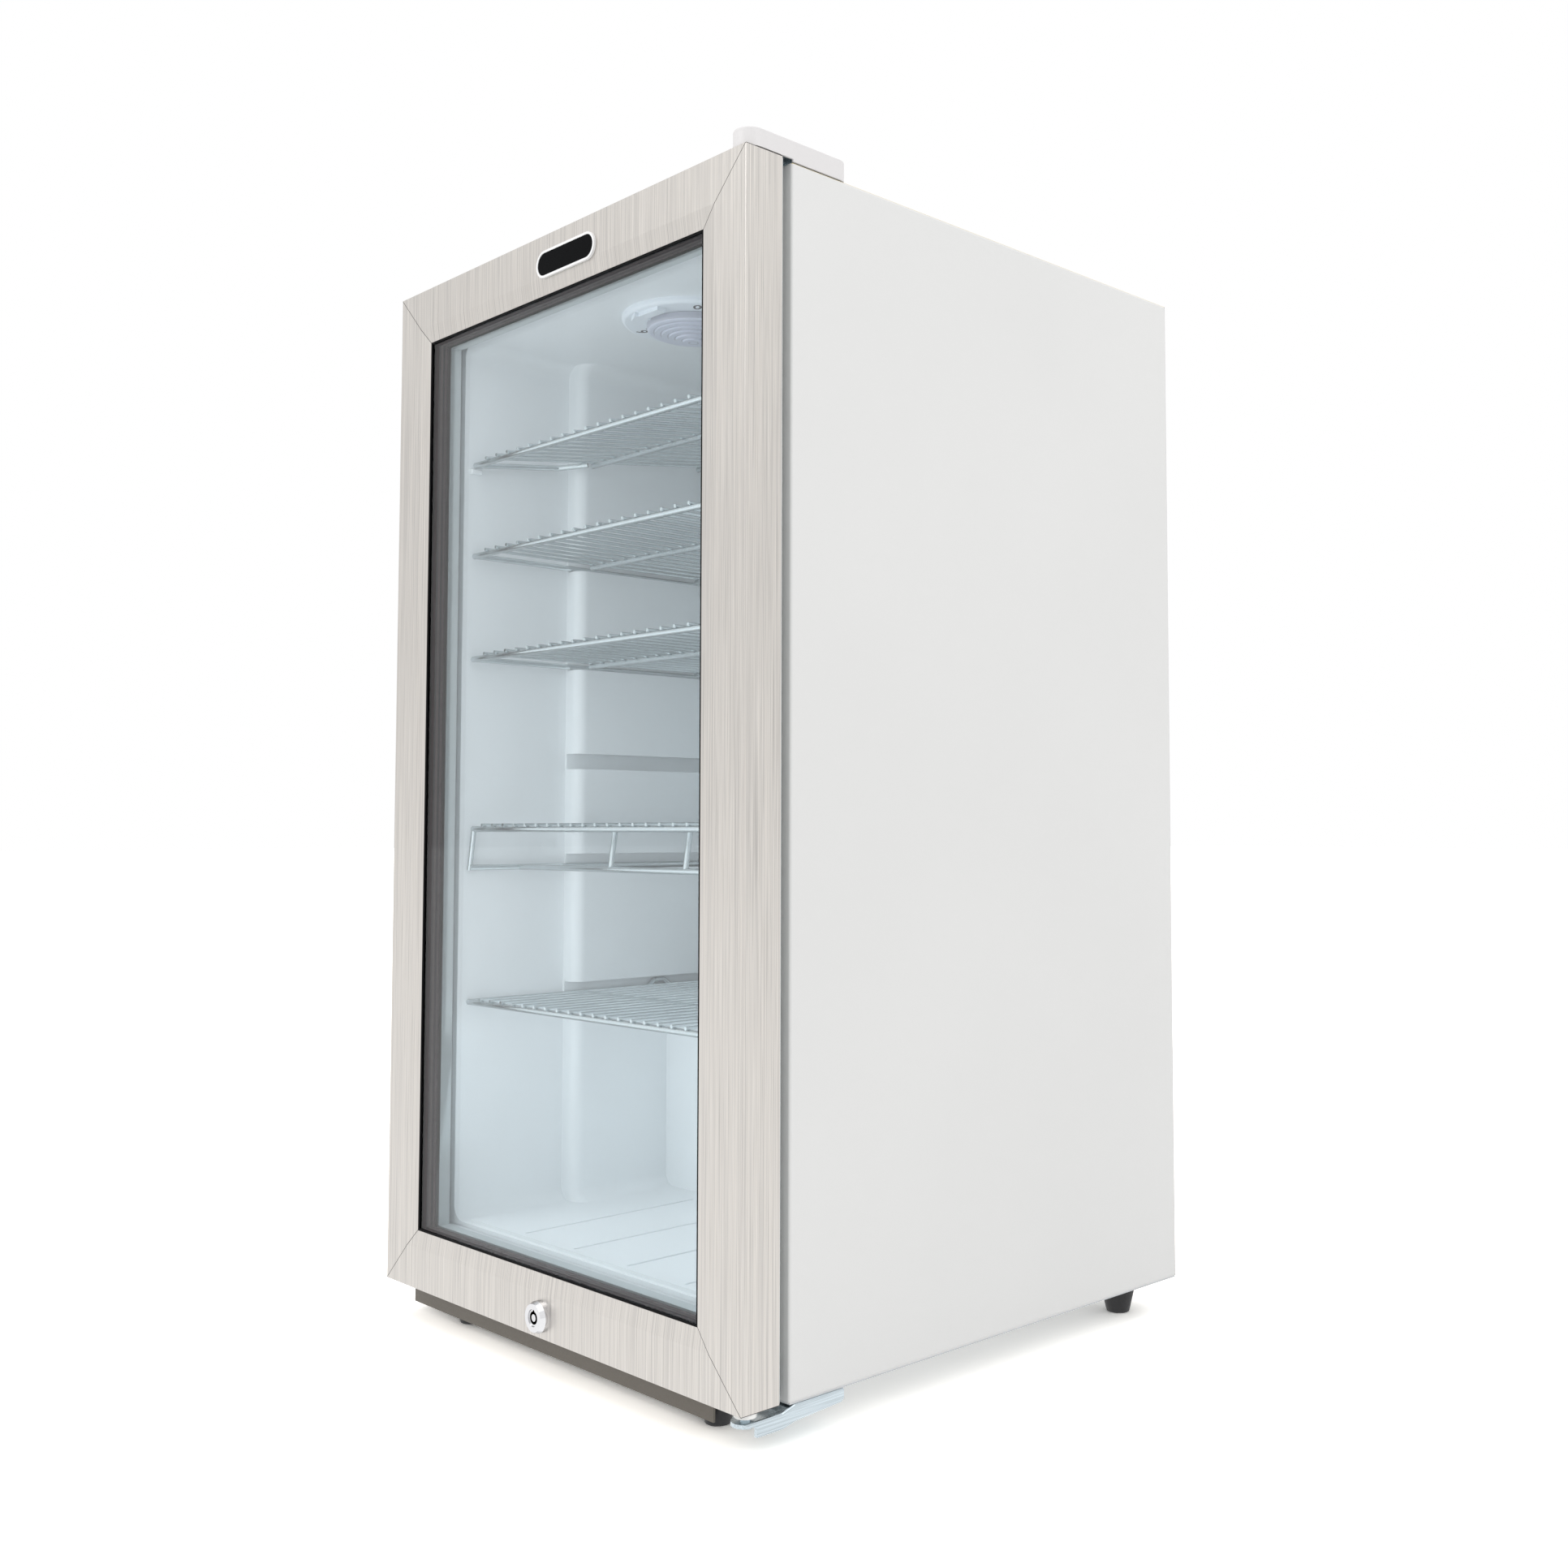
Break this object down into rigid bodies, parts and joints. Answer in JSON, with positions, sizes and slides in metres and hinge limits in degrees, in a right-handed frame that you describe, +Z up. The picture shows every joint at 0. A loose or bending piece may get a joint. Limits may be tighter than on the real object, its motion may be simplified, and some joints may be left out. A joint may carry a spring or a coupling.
{
  "type": "reach in refrigerator",
  "caption": "Compact glass-door reach-in refrigerator with a mitred steel door frame, wire shelves, key lock, ceiling thermostat and rear compressor bay.",
  "frame": {"origin": "on the floor, under the middle of the whole footprint", "axes": "+Z up, +Y from the door towards the back, +X to the viewer's right, where the hinge is"},
  "size_m": [0.432, 0.4606, 0.8276],
  "materials": {
    "shell": "satin",
    "galvanised": "satin",
    "liner": "satin",
    "foam": "matte",
    "dark_sheet": "satin",
    "black_plastic": "matte",
    "black_rubber": "matte",
    "black_paint": "gloss",
    "copper": "satin",
    "aluminium": "satin",
    "control_plastic": "satin",
    "knob_plastic": "satin",
    "zinc": "satin",
    "cover_plastic": "satin",
    "base_plastic": "satin",
    "foot_rubber": "matte",
    "shelf_wire": "satin",
    "stainless": "satin",
    "frame_plastic": "satin",
    "glass": "gloss",
    "spacer": "satin",
    "seal": "matte",
    "gasket": "matte",
    "badge_rim": "gloss",
    "badge_black": "gloss",
    "chrome": "polished",
    "bush_plastic": "satin"
  },
  "bodies": {
    "cabinet": {"outer_shell": "shell", "back_panel": "galvanised", "base_plate": "galvanised", "inner_liner": "liner", "insulation_foam": "foam", "bay_wall": "galvanised", "compartment_grille": "dark_sheet", "cord_gland": "black_plastic", "compressor_tray": "galvanised", "compressor_mounts": "black_rubber", "compressor": "black_paint", "relay_cover": "black_plastic", "suction_pipe": "copper", "discharge_pipe": "copper", "filter_drier": "copper", "drip_tray": "black_plastic", "drain_tube": "black_plastic", "terminal_box": "black_plastic", "evaporator_plate": "aluminium", "evaporator_tube": "aluminium", "condenser_tubes": "copper", "thermostat_housing": "control_plastic", "thermostat_pointer": "control_plastic", "thermostat_body": "black_plastic", "top_hinge_bracket": "zinc", "top_hinge_cover": "cover_plastic", "hinge_screws": "zinc", "bottom_hinge_bracket": "zinc", "bottom_hinge_pin": "zinc", "kick_strip": "base_plastic", "rear_foot_left": "foot_rubber", "rear_foot_right": "foot_rubber"},
    "door": {"door_bottom_rail": "stainless", "door_top_rail": "stainless", "door_left_stile": "stainless", "door_right_stile": "stainless", "door_core": "foam", "door_inner_frame": "frame_plastic", "outer_glass": "glass", "inner_glass": "glass", "glass_spacer": "spacer", "glass_bead": "seal", "door_gasket": "gasket", "badge_rim": "badge_rim", "badge_plate": "badge_black", "lock_housing": "chrome", "lock_nut": "zinc", "door_bush_top": "bush_plastic", "door_bush_bottom": "bush_plastic"},
    "lock_plug": {"lock_core": "chrome", "lock_cam": "zinc", "lock_cam_screw": "zinc"},
    "thermostat_dial": {"thermostat_knob": "knob_plastic"},
    "levelling_foot_left": {"front_foot_left": "foot_rubber"},
    "levelling_foot_right": {"front_foot_right": "foot_rubber"},
    "shelf_1": {"shelf_1": "shelf_wire"},
    "shelf_2": {"shelf_2": "shelf_wire"},
    "shelf_3": {"shelf_3": "shelf_wire"},
    "shelf_4": {"shelf_4": "shelf_wire"},
    "shelf_5": {"shelf_5": "shelf_wire"}
  },
  "joints": [
    {"name": "door_hinge", "type": "hinge", "parent": "cabinet", "child": "door", "pos_m": [0.2085, -0.2143, 0.028], "axis": [0, 0, 1], "range_deg": [0, 115]},
    {"name": "lock_turn", "type": "hinge", "parent": "door", "child": "lock_plug", "pos_m": [0, -0.2243, 0.043], "axis": [0, 1, 0], "range_deg": [0, 90]},
    {"name": "thermostat_turn", "type": "hinge", "parent": "cabinet", "child": "thermostat_dial", "pos_m": [0.004, -0.0929, 0.768], "axis": [0, 0, 1], "range_deg": [0, 270]},
    {"name": "shelf_1_slide", "type": "slide", "parent": "cabinet", "child": "shelf_1", "axis": [0, -1, 0], "range_m": [0, 0.008]},
    {"name": "shelf_2_slide", "type": "slide", "parent": "cabinet", "child": "shelf_2", "axis": [0, -1, 0], "range_m": [0, 0.008]},
    {"name": "shelf_3_slide", "type": "slide", "parent": "cabinet", "child": "shelf_3", "axis": [0, -1, 0], "range_m": [0, 0.008]},
    {"name": "shelf_4_slide", "type": "slide", "parent": "cabinet", "child": "shelf_4", "axis": [0, -1, 0], "range_m": [0, 0.008]},
    {"name": "shelf_5_slide", "type": "slide", "parent": "cabinet", "child": "shelf_5", "axis": [0, -1, 0], "range_m": [0, 0.008]},
    {"name": "foot_left_turn", "type": "hinge", "parent": "cabinet", "child": "levelling_foot_left", "pos_m": [-0.15, -0.187, 0.012], "axis": [0, 0, 1], "continuous": true},
    {"name": "foot_right_turn", "type": "hinge", "parent": "cabinet", "child": "levelling_foot_right", "pos_m": [0.15, -0.187, 0.012], "axis": [0, 0, 1], "continuous": true}
  ]
}
